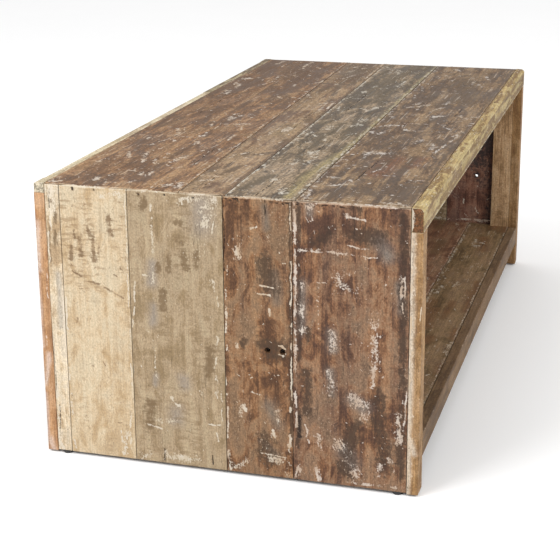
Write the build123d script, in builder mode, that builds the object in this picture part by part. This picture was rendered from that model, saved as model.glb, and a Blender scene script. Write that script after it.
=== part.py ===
from build123d import *
import os

# A low table in reclaimed boards: two slab ends, a plank top mitred to them and a raised plank
# shelf, open along both long sides. X runs along its length, Y across it and Z up, and the
# origin is on the floor under its middle. Near is the -X end, right is the -Y side.

# Driving dimensions, in millimetres
length = 1200
width = 600
height = 445
board = 16
edge = 18
strip_depth = 36
end_depth = 30
post_width = 41
shelf_top = 90
cleat_depth = 40
batten_width = 40
seam_gap = 0.8
lipping_foot = 3
board_foot = 5
worn_edge = 2

# Seams between the top's boards, left to right, as (y at the near end, y at the far end)
half_inside = width / 2 - edge
top_seams = [
    (half_inside, half_inside),
    (66, 98),
    (-6, 12),
    (-113, -109),
    (-half_inside, -half_inside),
]
near_end_seams = [half_inside, 258, 148, -2, -108, -half_inside]
far_end_seams = [-half_inside, -139, 10, 150, half_inside]
shelf_seams = [-half_inside, -192, -35, 118, half_inside]
top_joint_right = 296
top_joint_left = 312
strip_joint = 165

# Old bolt holes, as (y, z)
bolt_hole_radius = 4
near_bolt_holes = [(-69, 210), (-92, 210)]
far_bolt_holes = [(-204, 200)]

# Fasteners
nail_places = [236, 200, 129, 88, 42, -14, -24, -77, -170, -252]
nail_below_top = 7
nail_length = 38
nail_radius = 1.2
nail_head_radius = 1.7
nail_head_height = 1
nail_sink = 1.5
screw_radius = 2
screw_head_radius = 4
screw_tip = 4
screw_length = 30
bearer_screw_length = 50
dowel_radius = 4
dowel_length = 36
fit = 0.05
glide_radius = 8
glide_in = 32
glide_edge = 1
glide_base = 1.5
glide_nail_length = 22

# Levels and faces worked out from the driving dimensions
board_inside = length / 2 - board
end_inside = length / 2 - end_depth
post_depth = end_depth - board
post_inside = half_inside - post_width
top_under = height - board
frame_under = height - strip_depth
shelf_under = shelf_top - board
bearer_under = shelf_top - strip_depth
frame_depth = strip_depth - board
nail_z = height - nail_below_top
near_mitre = Plane((-length / 2, 0, height), z_dir=(1, 0, 1))
far_mitre = Plane((length / 2, 0, height), z_dir=(-1, 0, 1))
batten_places = [-300, 0, 300]
shelf_batten_places = [-200, 200]

os.makedirs("parts", exist_ok=True)


def keep(piece, node):
    """Labels a finished piece and writes its STEP file."""
    piece.part.label = node
    export_step(piece.part, f"parts/{node}.step")


def middles(seams):
    """The middle of each board between neighbouring straight seams."""
    return [(low + high) / 2 for low, high in zip(seams, seams[1:])]


def block(low, high):
    """A square-sawn length of wood between two corners, made in the builder that calls it."""
    with Locations(tuple((a + b) / 2 for a, b in zip(low, high))):
        Box(*(b - a for a, b in zip(low, high)))


def seam_at(seam, x):
    """Where a straight seam of the top lies across the table, at a place along it."""
    near_y, far_y = seam
    return near_y + (far_y - near_y) * (x + length / 2) / length


def nail_planes():
    """Planes on the two end faces, facing out of the table, one for each nail."""
    planes = {}
    for end, side in (("near", -1), ("far", 1)):
        face = side * length / 2
        planes[end] = [Plane((face, y, nail_z), z_dir=(side, 0, 0)) for y in nail_places]
    return planes


def drill_nail_holes():
    """Cuts the pocket for each nail's head and the hole for its shank from the current part."""
    for planes in nail_planes().values():
        with Locations(*planes):
            Cylinder(nail_head_radius + fit, 2 * (nail_sink + nail_head_height), mode=Mode.SUBTRACT)
            Cylinder(nail_radius + fit, 2 * (nail_sink + nail_length), mode=Mode.SUBTRACT)


def top_board(node, left_seam, right_seam, near_cut, far_cut):
    """A board of the top. Each cut is (x at the right seam, x at the left seam)."""
    half_gap = seam_gap / 2
    with BuildPart() as plank:
        with BuildSketch(Plane.XY.offset(top_under)):
            with BuildLine():
                Polyline(
                    (near_cut[0], seam_at(right_seam, near_cut[0]) + half_gap),
                    (far_cut[0], seam_at(right_seam, far_cut[0]) + half_gap),
                    (far_cut[1], seam_at(left_seam, far_cut[1]) - half_gap),
                    (near_cut[1], seam_at(left_seam, near_cut[1]) - half_gap),
                    close=True,
                )
            make_face()
        extrude(amount=board)
        split(bisect_by=near_mitre, keep=Keep.TOP)
        split(bisect_by=far_mitre, keep=Keep.TOP)
        drill_nail_holes()
        with Locations(*[(x, y, top_under) for x, y in top_screw_places()]):
            Cylinder(screw_radius + fit, 2 * (screw_length - frame_depth), mode=Mode.SUBTRACT)
    keep(plank, node)


def top():
    """Four boards wide; the second from the left is pieced with a slanting butt joint."""
    near_end = (-length / 2, -length / 2)
    far_end = (length / 2, length / 2)
    joint = (top_joint_right, top_joint_left)
    joint_near = tuple(x - seam_gap / 2 for x in joint)
    joint_far = tuple(x + seam_gap / 2 for x in joint)
    top_board("top_board_1", top_seams[0], top_seams[1], near_end, far_end)
    top_board("top_board_2_near", top_seams[1], top_seams[2], near_end, joint_near)
    top_board("top_board_2_far", top_seams[1], top_seams[2], joint_far, far_end)
    top_board("top_board_3", top_seams[2], top_seams[3], near_end, far_end)
    top_board("top_board_4", top_seams[3], top_seams[4], near_end, far_end)


def end_board(node, side, low_y, high_y, bolt_holes):
    """An upright board of an end, mitred to the top; side is -1 at the near end, 1 at the far."""
    mitre = near_mitre if side < 0 else far_mitre
    outer = side * length / 2
    inner = side * board_inside
    with BuildPart() as plank:
        block(
            (min(outer, inner), low_y + seam_gap / 2, board_foot),
            (max(outer, inner), high_y - seam_gap / 2, height),
        )
        split(bisect_by=mitre, keep=Keep.BOTTOM)
        drill_nail_holes()
        with Locations(*[Plane((outer, y, z), z_dir=(side, 0, 0)) for y, z in bolt_holes]):
            Cylinder(bolt_hole_radius, 4 * board, mode=Mode.SUBTRACT)
        with Locations(*bearer_screw_planes(side)):
            Cylinder(screw_radius + fit, 2 * bearer_screw_length, mode=Mode.SUBTRACT)
        with Locations(*[(x, y, board_foot) for x, y in glide_places()]):
            Cylinder(nail_radius + fit, 2 * glide_nail_length, mode=Mode.SUBTRACT)
    keep(plank, node)


def ends():
    """Both slab ends: the near one of five boards, the far one of four."""
    near = list(zip(near_end_seams[1:], near_end_seams))
    for number, (low_y, high_y) in enumerate(near, start=1):
        end_board(f"near_end_board_{number}", -1, low_y, high_y, near_bolt_holes)
    far = list(zip(far_end_seams, far_end_seams[1:]))
    for number, (low_y, high_y) in enumerate(far, start=1):
        end_board(f"far_end_board_{number}", 1, low_y, high_y, far_bolt_holes)


def lippings():
    """Upright strips that close the boards' edges at the four corners and stand as feet."""
    for end, end_side in (("near", -1), ("far", 1)):
        for hand, hand_side, top_z in (("right", -1, frame_under), ("left", 1, top_under)):
            xs = sorted((end_side * end_inside, end_side * length / 2))
            ys = sorted((hand_side * half_inside, hand_side * width / 2))
            with BuildPart() as lipping:
                block((xs[0], ys[0], lipping_foot), (xs[1], ys[1], top_z))
                corner = lipping.edges().filter_by(Axis.Z).sort_by(Axis.X)
                outer_pair = corner[:2] if end_side < 0 else corner[2:]
                outer_corner = outer_pair.sort_by(Axis.Y)[0 if hand_side < 0 else -1]
                fillet(outer_corner, radius=worn_edge)
            keep(lipping, f"{end}_{hand}_lipping")


def posts():
    """Four posts inside the corners, which carry the rails."""
    for end, end_side in (("near", -1), ("far", 1)):
        for hand, hand_side in (("right", -1), ("left", 1)):
            xs = sorted((end_side * board_inside, end_side * end_inside))
            ys = sorted((hand_side * half_inside, hand_side * post_inside))
            with BuildPart() as post:
                block((xs[0], ys[0], board_foot), (xs[1], ys[1], frame_under))
                with Locations(*[(x, y, frame_under) for x, y in dowel_places()]):
                    Cylinder(dowel_radius + fit, dowel_length, mode=Mode.SUBTRACT)
            keep(post, f"{end}_{hand}_post")


def rails():
    """Two rails along the sides, under the top's boards and on the posts."""
    for hand, hand_side in (("right", -1), ("left", 1)):
        ys = sorted((hand_side * half_inside, hand_side * post_inside))
        with BuildPart() as rail:
            block((-board_inside, ys[0], frame_under), (board_inside, ys[1], top_under))
            with Locations(*[(x, y, frame_under) for x, y in dowel_places()]):
                Cylinder(dowel_radius + fit, dowel_length, mode=Mode.SUBTRACT)
            with Locations(*under_planes(top_screw_places(), frame_under)):
                CounterSinkHole(screw_radius + fit, screw_head_radius + fit, 2 * frame_depth)
        keep(rail, f"{hand}_rail")


def battens():
    """Cross battens under the top, between the rails."""
    for number, x in enumerate(batten_places, start=1):
        with BuildPart() as batten:
            block(
                (x - batten_width / 2, -post_inside, frame_under),
                (x + batten_width / 2, post_inside, top_under),
            )
            with Locations(*under_planes(top_screw_places(), frame_under)):
                CounterSinkHole(screw_radius + fit, screw_head_radius + fit, 2 * frame_depth)
        keep(batten, f"top_batten_{number}")


def cleats():
    """A cleat across the inside of each end, close under the top."""
    for end, side in (("near", -1), ("far", 1)):
        xs = sorted((side * board_inside, side * end_inside))
        with BuildPart() as cleat:
            block(
                (xs[0], -post_inside, top_under - cleat_depth),
                (xs[1], post_inside, top_under),
            )
        keep(cleat, f"{end}_cleat")


def top_strips():
    """Edge strips along the top: one length on the right, two butted lengths on the left."""
    with BuildPart() as strip:
        block((-length / 2, -width / 2, frame_under), (length / 2, -half_inside, height))
        upper = strip.edges().filter_by(Axis.X).group_by(Axis.Z)[-1].sort_by(Axis.Y)[0]
        fillet(upper, radius=worn_edge)
    keep(strip, "right_top_strip")
    set_back = 1
    spans = (
        ("near", -length / 2, strip_joint - seam_gap / 2, set_back),
        ("far", strip_joint + seam_gap / 2, length / 2, 0),
    )
    for end, start, stop, inset in spans:
        with BuildPart() as strip:
            block((start, half_inside, frame_under), (stop, width / 2 - inset, height))
            upper = strip.edges().filter_by(Axis.X).group_by(Axis.Z)[-1].sort_by(Axis.Y)[-1]
            fillet(upper, radius=worn_edge)
            for corner_x in (-length / 2, length / 2):
                with Locations((corner_x, half_inside, frame_under)):
                    Box(2 * end_depth, 4 * edge, 2 * frame_depth, mode=Mode.SUBTRACT)
        keep(strip, f"left_top_strip_{end}")


def shelf():
    """Boards along the shelf, notched round the posts, with a lip along each open side."""
    for number, (low_y, high_y) in enumerate(zip(shelf_seams, shelf_seams[1:]), start=1):
        with BuildPart() as plank:
            block(
                (-board_inside, low_y + seam_gap / 2, shelf_under),
                (board_inside, high_y - seam_gap / 2, shelf_top),
            )
            for side in (-1, 1):
                with Locations(
                    (-board_inside, side * half_inside, shelf_top),
                    (board_inside, side * half_inside, shelf_top),
                ):
                    Box(2 * post_depth, 2 * post_width, 4 * board, mode=Mode.SUBTRACT)
            with Locations(*[(x, y, shelf_under) for x, y in shelf_screw_places()]):
                Cylinder(screw_radius + fit, 2 * (screw_length - frame_depth), mode=Mode.SUBTRACT)
        keep(plank, f"shelf_board_{number}")
    for hand, hand_side in (("right", -1), ("left", 1)):
        ys = sorted((hand_side * half_inside, hand_side * width / 2))
        with BuildPart() as lip:
            block((-end_inside, ys[0], bearer_under), (end_inside, ys[1], shelf_top))
            upper = lip.edges().filter_by(Axis.X).group_by(Axis.Z)[-1]
            fillet(upper.sort_by(Axis.Y)[0 if hand_side < 0 else -1], radius=worn_edge)
        keep(lip, f"shelf_{hand}_lip")


def shelf_bearers():
    """What the shelf's boards lie on: a bearer screwed to each end, and cross battens."""
    for end, side in (("near", -1), ("far", 1)):
        xs = sorted((side * board_inside, side * (board_inside - batten_width)))
        with BuildPart() as bearer:
            block((xs[0], -post_inside, bearer_under), (xs[1], post_inside, shelf_under))
            with Locations(*bearer_screw_planes(side)):
                CounterSinkHole(screw_radius + fit, screw_head_radius + fit, 2 * batten_width)
        keep(bearer, f"{end}_shelf_bearer")
    for number, x in enumerate(shelf_batten_places, start=1):
        with BuildPart() as batten:
            block(
                (x - batten_width / 2, -half_inside, bearer_under),
                (x + batten_width / 2, half_inside, shelf_under),
            )
            with Locations(*under_planes(shelf_screw_places(), bearer_under)):
                CounterSinkHole(screw_radius + fit, screw_head_radius + fit, 2 * frame_depth)
        keep(batten, f"shelf_batten_{number}")


def top_screw_places():
    """Screws up into the top: through each batten and, between the battens, each rail."""
    places = []
    for x in batten_places:
        boards = [seam_at(seam, x) for seam in top_seams]
        places += [(x, y) for y in middles(boards)]
    for x in (-450, -150, 150, 450):
        for side in (-1, 1):
            places.append((x, side * (half_inside + post_inside) / 2))
    return places


def shelf_screw_places():
    """Screws up into the middle of each shelf board through each cross batten."""
    return [(x, y) for x in shelf_batten_places for y in middles(shelf_seams)]


def bearer_screw_planes(side):
    """Screws outwards through a bearer into the end's boards, facing into the table."""
    face = side * (board_inside - batten_width)
    level = (bearer_under + shelf_under) / 2
    return [Plane((face, y, level), z_dir=(-side, 0, 0)) for y in (-200, -70, 70, 200)]


def dowel_places():
    """One dowel between each post and the rail above it."""
    x = (board_inside + end_inside) / 2
    y = (half_inside + post_inside) / 2
    return [(-x, -y), (-x, y), (x, -y), (x, y)]


def glide_places():
    """A glide under the end boards near each corner."""
    x = length / 2 - board / 2
    y = width / 2 - glide_in
    return [(-x, -y), (-x, y), (x, -y), (x, y)]


def under_planes(places, level):
    """Planes facing down at a level, where screws start upwards."""
    return [Plane((x, y, level), z_dir=(0, 0, -1)) for x, y in places]


def screw_group(node, planes, shank_length):
    """Countersunk screws, each with its head flush with its plane and driven against its normal."""
    head_height = screw_head_radius - screw_radius
    with BuildPart() as screw:
        with BuildSketch(Plane.XZ):
            with BuildLine():
                Polyline(
                    (0, 0),
                    (screw_head_radius, 0),
                    (screw_radius, -head_height),
                    (screw_radius, screw_tip - shank_length),
                    (0, -shank_length),
                    close=True,
                )
            make_face()
        revolve(axis=Axis.Z)
        Box(screw_head_radius, 1, head_height, mode=Mode.SUBTRACT)
        Box(1, screw_head_radius, head_height, mode=Mode.SUBTRACT)
    with BuildPart() as group:
        with Locations(*planes):
            add(screw.part)
    keep(group, node)


def nail_groups():
    """Fine-headed nails along each mitre, sunk a little below the face."""
    for end, planes in nail_planes().items():
        sunk = [plane.offset(-nail_sink) for plane in planes]
        with BuildPart() as group:
            with Locations(*sunk):
                Cylinder(nail_head_radius, nail_head_height, align=(Align.CENTER, Align.CENTER, Align.MAX))
                Cylinder(nail_radius, nail_length, align=(Align.CENTER, Align.CENTER, Align.MAX))
        keep(group, f"{end}_end_nails")


def dowels():
    """Beech dowels between the posts and the rails."""
    with BuildPart() as group:
        with Locations(*[(x, y, frame_under) for x, y in dowel_places()]):
            Cylinder(dowel_radius, dowel_length)
    keep(group, "post_dowels")


def glides():
    """Nail-on plastic glides, each moulded round the head of its nail."""
    names = ("near_right", "near_left", "far_right", "far_left")
    for name, (x, y) in zip(names, glide_places()):
        with BuildPart() as glide:
            with Locations((x, y, board_foot / 2)):
                Cylinder(glide_radius, board_foot)
            fillet(glide.edges().group_by(Axis.Z)[0], radius=glide_edge)
            with Locations((x, y, board_foot)):
                Cylinder(nail_radius + fit, 2 * (board_foot - glide_base), mode=Mode.SUBTRACT)
        keep(glide, f"{name}_glide")
    with BuildPart() as group:
        with Locations(*[(x, y, glide_base) for x, y in glide_places()]):
            Cylinder(nail_radius, glide_nail_length, align=(Align.CENTER, Align.CENTER, Align.MIN))
    keep(group, "glide_nails")


top()
ends()
lippings()
posts()
rails()
battens()
cleats()
top_strips()
shelf()
shelf_bearers()
screw_group("top_screws", under_planes(top_screw_places(), frame_under), screw_length)
screw_group("shelf_screws", under_planes(shelf_screw_places(), bearer_under), screw_length)
bearer_screws = bearer_screw_planes(-1) + bearer_screw_planes(1)
screw_group("bearer_screws", bearer_screws, bearer_screw_length)
nail_groups()
dowels()
glides()
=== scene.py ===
import itertools
import math

import bmesh
import bpy
import numpy as np
from mathutils import Matrix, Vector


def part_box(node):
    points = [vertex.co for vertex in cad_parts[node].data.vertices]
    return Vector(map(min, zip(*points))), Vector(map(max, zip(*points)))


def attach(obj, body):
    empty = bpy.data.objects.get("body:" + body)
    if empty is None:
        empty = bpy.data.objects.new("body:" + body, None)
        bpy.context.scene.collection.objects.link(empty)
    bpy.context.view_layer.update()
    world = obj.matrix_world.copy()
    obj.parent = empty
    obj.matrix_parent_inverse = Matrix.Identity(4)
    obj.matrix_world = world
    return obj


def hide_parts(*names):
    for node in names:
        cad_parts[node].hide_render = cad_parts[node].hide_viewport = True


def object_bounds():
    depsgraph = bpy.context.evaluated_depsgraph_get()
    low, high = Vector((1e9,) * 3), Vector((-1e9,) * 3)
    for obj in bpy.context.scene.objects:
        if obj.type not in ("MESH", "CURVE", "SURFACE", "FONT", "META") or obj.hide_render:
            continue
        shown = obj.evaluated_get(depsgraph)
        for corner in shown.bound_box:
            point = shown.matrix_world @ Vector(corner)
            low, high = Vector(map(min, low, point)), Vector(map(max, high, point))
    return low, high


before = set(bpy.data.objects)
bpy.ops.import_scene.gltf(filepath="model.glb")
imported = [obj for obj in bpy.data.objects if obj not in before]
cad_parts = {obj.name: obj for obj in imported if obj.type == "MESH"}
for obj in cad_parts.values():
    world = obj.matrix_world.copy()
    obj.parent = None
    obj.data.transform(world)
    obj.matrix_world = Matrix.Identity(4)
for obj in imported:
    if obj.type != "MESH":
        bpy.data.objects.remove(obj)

cad_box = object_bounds()

# The hidden frame: square-sawn rails, battens, cleats and shelf bearers, screwed up against the boards.
# They are plain sawn softwood gone tan with age, in the sizes they were cut to, so the CAD pieces stay.
# Every wood finish on the table is mixed here: grain, fibre, saw marks, old paint, dirt, cracks, and painted
# shade on the board sides down in the seams.


def shade(red, green, blue):
    """A colour as a paint card gives it, from 0 to 255, turned into light."""
    light = [((c / 255 + 0.055) / 1.055) ** 2.4 if c > 10 else c / 3295 for c in (red, green, blue)]
    return (*light, 1)


class Finish:
    """A finish being mixed. Each method adds a shader node and gives back what comes out of it."""

    def __init__(self, name, grain):
        self.material = bpy.data.materials.new(name)
        self.material.use_nodes = True
        self.tree = self.material.node_tree
        self.tree.nodes.clear()
        place = self.add("ShaderNodeTexCoord", {}).outputs["Object"]
        apart = self.add("ShaderNodeSeparateXYZ", {0: place}).outputs
        order = {"x": (0, 1, 2), "y": (1, 0, 2), "z": (2, 1, 0)}[grain]
        turned = {socket: apart[axis] for socket, axis in enumerate(order)}
        self.place = self.add("ShaderNodeCombineXYZ", turned).outputs[0]

    def add(self, kind, inputs, **settings):
        node = self.tree.nodes.new(kind)
        for name, value in settings.items():
            setattr(node, name, value)
        for socket, value in inputs.items():
            if isinstance(value, bpy.types.NodeSocket):
                self.tree.links.new(value, node.inputs[socket])
            else:
                node.inputs[socket].default_value = value
        return node

    def cloud(self, along, across, shift, detail=3.0, roughness=0.6, twist=0.0):
        """Grey clouds drawn out along the grain, with so many to a metre along and across it."""
        moved = (shift, 0.7 * shift, 1.3 * shift)
        stretched = {"Vector": self.place, "Location": moved, "Scale": (along, across, across)}
        inputs = {"Vector": self.add("ShaderNodeMapping", stretched).outputs[0], "Scale": 1.0}
        inputs.update({"Detail": detail, "Roughness": roughness, "Distortion": twist})
        return self.add("ShaderNodeTexNoise", inputs).outputs[0]

    def mark(self, name):
        """How strong one kind of laid mark is here."""
        return self.add("ShaderNodeAttribute", {}, attribute_name=name).outputs["Fac"]

    def calc(self, operation, first, second=0.0):
        return self.add("ShaderNodeMath", {0: first, 1: second}, operation=operation).outputs[0]

    def times(self, first, second):
        return self.calc("MULTIPLY", first, second)

    def plus(self, first, second):
        return self.calc("ADD", first, second)

    def larger(self, first, second):
        return self.calc("MAXIMUM", first, second)

    def swing(self, value, size):
        """A cloud's swing to either side of nothing, at this size."""
        return self.times(self.calc("SUBTRACT", value, 0.5), size)

    def between(self, value, low, high, to_low=0.0, to_high=1.0):
        """Turns a value between low and high, eased at both ends, into one between to_low and to_high."""
        inputs = {"Value": value, "From Min": low, "From Max": high, "To Min": to_low, "To Max": to_high}
        return self.add("ShaderNodeMapRange", inputs, interpolation_type="SMOOTHSTEP").outputs[0]

    def mix(self, share, first, second, blend="MIX"):
        inputs = {0: share, 6: first, 7: second}
        return self.add("ShaderNodeMix", inputs, data_type="RGBA", blend_type=blend).outputs[2]

    def tones(self, value, stops):
        """A run of colours, each at its place between 0 and 1."""
        ramp = self.add("ShaderNodeValToRGB", {0: value})
        elements = ramp.color_ramp.elements
        for _ in stops[2:]:
            elements.new(0.5)
        for element, (place, colour) in zip(elements, stops):
            element.position = place
            element.color = shade(*colour)
        return ramp.outputs[0]

    def grey(self, value):
        """A number as an even grey, to multiply a colour by."""
        return self.add("ShaderNodeCombineColor", {0: value, 1: value, 2: value}).outputs[0]


def wood_finish(
    name, grain, seed, dark, middle, light, second=(150, 120, 90), second_share=0.0, paint=(192, 182, 166),
    flakes=0.0, scored=0.0, saw=0.2, dirt=0.3, checks=0.5, contrast=1.0, coarse=1.0, strand=0.7, gloss=0.0,
    stain=(74, 60, 50), end_tone=(110, 78, 52),
):
    """Sawn wood with its age on it. The shares run from 0, none, to 1, a lot."""
    f = Finish(name, grain)
    fine = 1 / coarse
    broad = f.cloud(1.7, 16, seed, twist=0.5)
    figure = f.cloud(4.2, 95 * fine, seed + 3, detail=4, twist=0.7)
    fibre = f.cloud(14 * fine, 330 * fine, seed + 5, detail=4, roughness=0.75)
    pores = f.cloud(150 * fine, 300 * fine, seed + 7, detail=2)
    patch = f.cloud(9, 17, seed + 11, detail=4)
    smudge = f.cloud(24 * fine, 40, seed + 12, detail=5, roughness=0.7, twist=0.6)
    flake = f.cloud(130 * fine, 220 * fine, seed + 13, detail=5, roughness=0.75)
    speck = f.cloud(320 * fine, 420 * fine, seed + 15, detail=2)
    teeth = f.cloud(210, 48, seed + 17, detail=3, roughness=0.65)
    columns = f.cloud(5, 24, seed + 18, detail=4)
    scratch = f.cloud(11, 260, seed + 21, detail=2)

    body = f.plus(f.swing(broad, 0.3), f.swing(figure, 0.3))
    body = f.plus(body, f.swing(smudge, 0.8 - 0.3 * strand))
    body = f.plus(body, f.swing(patch, 0.35))
    body = f.plus(body, f.swing(fibre, 0.25 * strand))
    spread = 0.14 / contrast
    colour = f.tones(f.between(body, -spread, spread), [(0, dark), (0.5, middle), (1, light)])
    tinted = f.between(f.plus(f.swing(patch, 0.6), f.swing(smudge, 0.5)), -0.08, 0.12, 0, second_share)
    laid_tint = f.times(f.mark("tint"), f.between(smudge, 0.35, 0.62, 0.6, 1.0))
    colour = f.mix(f.larger(tinted, laid_tint), colour, shade(*second))
    strands = f.between(fibre, 0.3, 0.7, 1 - 0.3 * contrast * strand, 1 + 0.22 * contrast * strand)
    colour = f.mix(1.0, colour, f.grey(strands), "MULTIPLY")
    grit = f.between(speck, 0.3, 0.7, 1 - 0.2 * contrast, 1 + 0.16 * contrast)
    colour = f.mix(1.0, colour, f.grey(grit), "MULTIPLY")
    pore_share = f.between(pores, 0.64, 0.74, 0, 0.5 * contrast)
    colour = f.mix(pore_share, colour, shade(*(0.7 * c for c in stain)))

    sawn = f.times(f.between(teeth, 0.5, 0.6), f.between(columns, 0.44, 0.6))
    sawn = f.times(sawn, saw)
    sawn_tone = shade(*(0.5 * (a + b) for a, b in zip(dark, stain)))
    colour = f.mix(f.times(sawn, 0.8), colour, sawn_tone)

    torn = f.plus(f.swing(smudge, 2.0), f.swing(flake, 2.2))
    torn = f.plus(torn, f.swing(teeth, 2.0 * saw))
    blotch = f.between(f.plus(f.mark("stain"), torn), 0.28, 1.0, 0, 0.85)
    clouded = f.plus(f.swing(patch, 0.5), f.swing(smudge, 0.6))
    soil = f.between(clouded, 0.0, 0.14, 0, 0.9 * dirt)
    soil = f.times(soil, f.between(flake, 0.38, 0.56, 0.3, 1.0))
    colour = f.mix(f.larger(blotch, soil), colour, shade(*stain))

    ridge = f.calc("ABSOLUTE", f.swing(f.cloud(2.6, 60 * fine, seed + 19, detail=1), 1))
    here_and_there = f.cloud(11, 40, seed + 23)
    thin = f.times(f.between(ridge, 0.0, 0.008, 1, 0), f.between(here_and_there, 0.52, 0.62))
    split = f.larger(f.times(thin, checks), f.between(f.mark("crack"), 0.3, 0.75))
    colour = f.mix(f.times(split, 0.8), colour, shade(40, 31, 26))

    worn = f.plus(f.mark("worn"), f.plus(f.swing(flake, 1.8), f.swing(smudge, 2.0)))
    rubbed = shade(*(0.5 * (a + b) for a, b in zip(light, paint)))
    colour = f.mix(f.between(worn, 0.4, 0.9, 0, 0.85), colour, rubbed)
    rings = f.mix(f.between(fibre, 0.42, 0.56), shade(*end_tone), shade(*(0.6 * c for c in end_tone)))
    colour = f.mix(f.times(f.mark("end"), 0.95), colour, rings)

    grains = f.plus(f.swing(flake, 1.2), f.swing(speck, 1.6))
    residue = f.between(f.plus(f.mark("paint"), grains), 0.34, 0.72)
    sparse = f.plus(flake, f.swing(smudge, 0.45))
    edge = 0.77 - 0.13 * flakes
    loose = f.between(sparse, edge, edge + 0.05, 0, 0.85 if flakes else 0)
    dots = f.plus(speck, f.swing(patch, 0.5))
    limit = 0.75 - 0.06 * flakes
    loose = f.larger(loose, f.between(dots, limit, limit + 0.05, 0, 0.7 if flakes else 0))
    lines = f.plus(scratch, f.swing(smudge, 0.5))
    limit = 0.73 - 0.09 * scored
    loose = f.larger(loose, f.between(lines, limit, limit + 0.05, 0, 0.6 if scored else 0))
    residue = f.larger(residue, loose)
    thin_paint = tuple(0.6 * a + 0.4 * b for a, b in zip(paint, light))
    old_paint = f.mix(f.between(smudge, 0.4, 0.6), shade(*paint), shade(*thin_paint))
    colour = f.mix(f.times(residue, 0.88), colour, old_paint)
    # Painted shade: the sides of the boards, down in the seams between them, are darkened almost to black.
    colour = f.mix(f.mark("seam_shade"), colour, shade(38, 29, 24))

    height = f.plus(f.times(fibre, 0.5), f.times(figure, 0.5))
    height = f.calc("SUBTRACT", height, f.plus(sawn, f.times(split, 1.5)))
    height = f.plus(height, f.times(residue, 0.35))
    bump = f.add("ShaderNodeBump", {"Strength": 0.5, "Distance": 0.0008, "Height": height}).outputs[0]
    dull = f.between(f.plus(f.times(fibre, 0.5), f.times(patch, 0.5)), 0.35, 0.65)
    rough = f.plus(f.times(dull, 0.22), 0.58 - 0.12 * gloss)
    rough = f.larger(rough, f.times(residue, 0.68))
    surface = {"Base Color": colour, "Roughness": rough, "Normal": bump, "Specular IOR Level": 0.2}
    wood = f.add("ShaderNodeBsdfPrincipled", surface)
    f.add("ShaderNodeOutputMaterial", {"Surface": wood.outputs[0]})
    return f.material


def coat(nodes, material):
    """Puts a finish on CAD pieces that keep their shape."""
    for node in nodes:
        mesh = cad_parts[node].data
        mesh.materials.clear()
        mesh.materials.append(material)


softwood = {"dark": (112, 82, 54), "middle": (142, 108, 74), "light": (168, 134, 98), "saw": 0.6}
coat(["right_rail", "left_rail"], wood_finish("rail_wood", "x", 3, **softwood))
battens = ["top_batten_1", "top_batten_2", "top_batten_3", "near_cleat", "far_cleat"]
battens += ["near_shelf_bearer", "far_shelf_bearer", "shelf_batten_1", "shelf_batten_2"]
coat(battens, wood_finish("batten_wood", "y", 9, **softwood))

# The near end: five upright boards of old painted planking, side by side and mitred to the top.
# Each kept its own colour, saw marks and paint. They are nailed through the mitre, and the fourth
# has two old bolt holes. Widths differ because each plank was used at the width it came in.


def value_noise(points, seed):
    """Smooth random values between -1 and 1, one for each point of an (N, 3) array."""
    cell = np.floor(points).astype(np.int64)
    inside = points - cell
    inside = inside * inside * (3 - 2 * inside)
    total = 0
    for corner in itertools.product((0, 1), repeat=3):
        at = cell + corner
        mixed = at[:, 0] * 374761393 + at[:, 1] * 668265263 + at[:, 2] * 2147483647 + seed * 1013904223
        mixed &= 0xFFFFFFFF
        mixed = ((mixed ^ (mixed >> 13)) * 1274126177) & 0xFFFFFFFF
        mixed ^= mixed >> 16
        total = total + np.prod(np.where(corner, inside, 1 - inside), axis=1) * (mixed / 0x7FFFFFFF - 1)
    return total


def wander(along, across, deep, lengths, seed, layers=3):
    """Layered noise, with features of these lengths in mm along, across and into the wood."""
    points = np.stack((along / lengths[0], across / lengths[1], deep / lengths[2]), axis=1)
    return sum(value_noise(points * 2**layer, seed + layer) / 2**layer for layer in range(layers))


def lay_marks(along, across, marks, seed):
    """How strong each kind of mark is at each point; a mark is (kind, reach, place, place...) in mm."""
    laid = {kind: np.zeros(along.shape) for kind in ("paint", "haze", "stain", "tint", "crack", "dent")}
    if not marks:
        return laid
    flat = 0 * along
    ragged = 1 + 0.5 * wander(along, across, flat, (4, 4, 4), seed, layers=2)
    broken = np.clip(0.82 + 0.7 * wander(along, across, flat, (11, 11, 11), seed + 7, layers=2), 0.2, 1)
    along = along + 1.3 * wander(along, across, flat, (13, 13, 13), seed + 8, layers=2)
    across = across + 1.1 * wander(along, across, flat, (13, 13, 13), seed + 9, layers=2)
    for kind, reach, *places in marks:
        soft = kind in ("stain", "tint")
        grow = reach * (2.4 if soft else 2)
        route = places * 2 if len(places) == 1 else places
        for (a_across, a_along), (b_across, b_along) in zip(route, route[1:]):
            near = np.abs(along - (a_along + b_along) / 2) < abs(a_along - b_along) / 2 + grow
            near &= np.abs(across - (a_across + b_across) / 2) < abs(a_across - b_across) / 2 + grow
            here = np.nonzero(near)[0]
            if not len(here):
                continue
            run = np.array((b_along - a_along, b_across - a_across))
            offset = np.stack((along[here] - a_along, across[here] - a_across), axis=1)
            share = np.clip(offset @ run / max(run @ run, 1e-6), 0, 1)
            distance = np.linalg.norm(offset - share[:, None] * run, axis=1) / reach
            if soft:
                strength = 0.95 * np.exp(-distance**2)
            else:
                strength = np.clip(1.25 - distance * ragged[here], 0, 1)
            if kind in ("paint", "haze"):
                strength *= broken[here]
            laid[kind][here] = np.maximum(laid[kind][here], strength)
    laid["paint"] = np.maximum(laid["paint"], 0.62 * laid["haze"])
    return laid


def placed(**kinds):
    """Marks set where they belong; each is (reach, across, along), with more places if it is a line."""
    return [(kind, reach, *zip(at[::2], at[1::2])) for kind, marks in kinds.items() for reach, *at in marks]


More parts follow.
